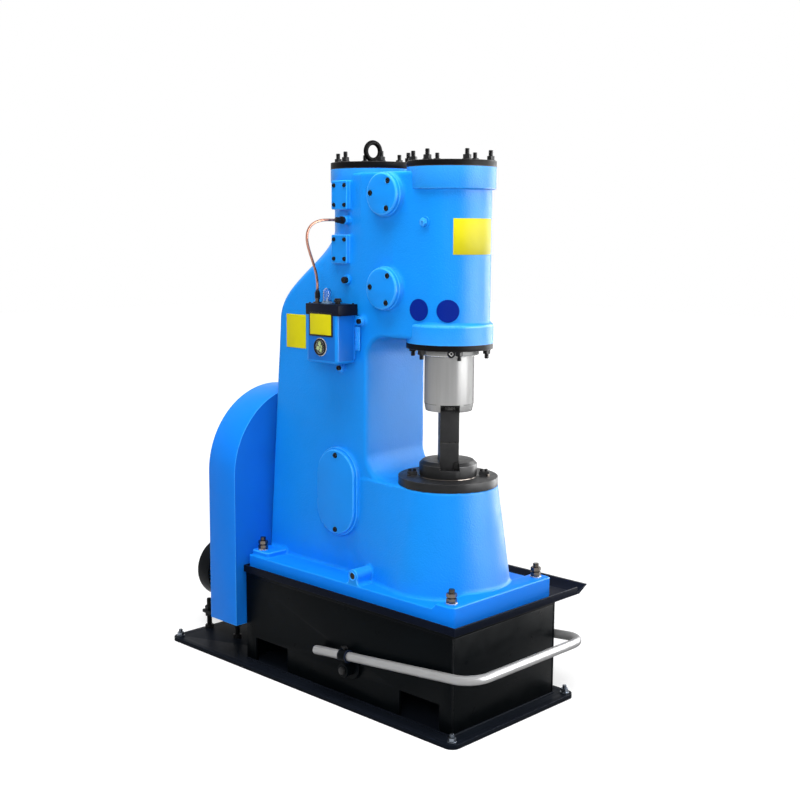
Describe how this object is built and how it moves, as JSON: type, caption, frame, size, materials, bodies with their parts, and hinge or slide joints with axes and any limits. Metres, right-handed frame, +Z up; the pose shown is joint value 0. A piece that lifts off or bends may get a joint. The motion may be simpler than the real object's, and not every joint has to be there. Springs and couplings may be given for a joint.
{
  "type": "pneumatic forging hammer",
  "caption": "Self-contained air hammer for forging: blue C-shaped cast frame with two upright cylinders, falling ram, round anvil, belt drive and foot treadle on a black base box.",
  "frame": {"origin": "centre of the base box's footprint, on the floor under the floor plate", "axes": "+X towards the ram and anvil end, -Y the side with the covers and lubricator, +Z up"},
  "size_m": [1.2774, 0.579, 1.481],
  "materials": {
    "blue_paint": "gloss enamel over a cast or sheet surface",
    "black_paint": "satin black enamel",
    "machined_steel": "turned and ground, bright",
    "polished_pipe": "polished stainless pipe",
    "die_steel": "blackened tool steel",
    "key_steel": "dark ground steel",
    "copper": "drawn copper pipe, slightly dull",
    "clear_plastic": "clear moulded dome",
    "sight_glass": "clear window over a pale oil gauge",
    "black_plastic": "moulded black",
    "belt_rubber": "rubber V-belts",
    "grey_iron": "turned grey iron",
    "blackened_steel": "blackened threads and nuts"
  },
  "bodies": {
    "hammer": {"base_plate": "black_paint", "base_wall_near": "black_paint", "base_wall_far": "black_paint", "base_wall_front": "black_paint", "base_wall_rear": "black_paint", "base_lid": "black_paint", "drip_pan": "black_paint", "frame_casting": "blue_paint", "front_cylinder_cap": "black_paint", "rear_cylinder_cap": "black_paint", "lifting_eye": "black_paint", "gland_flange": "black_paint", "guide_ring": "machined_steel", "anvil_disc": "die_steel", "sow_block": "die_steel", "bottom_die": "die_steel", "bottom_die_key": "key_steel", "valve_covers": "blue_paint", "port_covers": "blue_paint", "inspection_cover": "blue_paint", "oil_fittings": "blackened_steel", "oil_pipe": "copper", "lubricator_bracket": "blue_paint", "lubricator_tank": "blue_paint", "lubricator_lid": "black_paint", "lubricator_dome": "clear_plastic", "lubricator_filler_cap": "black_plastic", "lubricator_sight_glass": "sight_glass", "belt_guard_front": "blue_paint", "belt_guard_rear": "blue_paint", "belt_guard_rim": "blue_paint", "crank_pulley": "grey_iron", "motor_pulley": "grey_iron", "drive_belts": "belt_rubber", "motor_body": "black_paint", "motor_terminal_box": "black_paint", "motor_plate": "black_paint", "motor_jack_rods": "blackened_steel", "treadle_bearings": "black_paint"},
    "ram_set": {"ram": "machined_steel", "top_die": "die_steel", "top_die_key": "key_steel"},
    "treadle": {"treadle_bar": "polished_pipe", "treadle_clamps": "black_paint", "treadle_shaft": "blackened_steel"}
  },
  "joints": [
    {"name": "ram_slide", "type": "slide", "parent": "hammer", "child": "ram_set", "axis": [0, 0, 1], "range_m": [0, 0.14]},
    {"name": "treadle_hinge", "type": "hinge", "parent": "hammer", "child": "treadle", "pos_m": [0.045, 0, 0.098], "axis": [0, 1, 0], "range_deg": [0, 8], "stiffness_Nm_per_rad": 100, "springref_deg": -17.19}
  ]
}
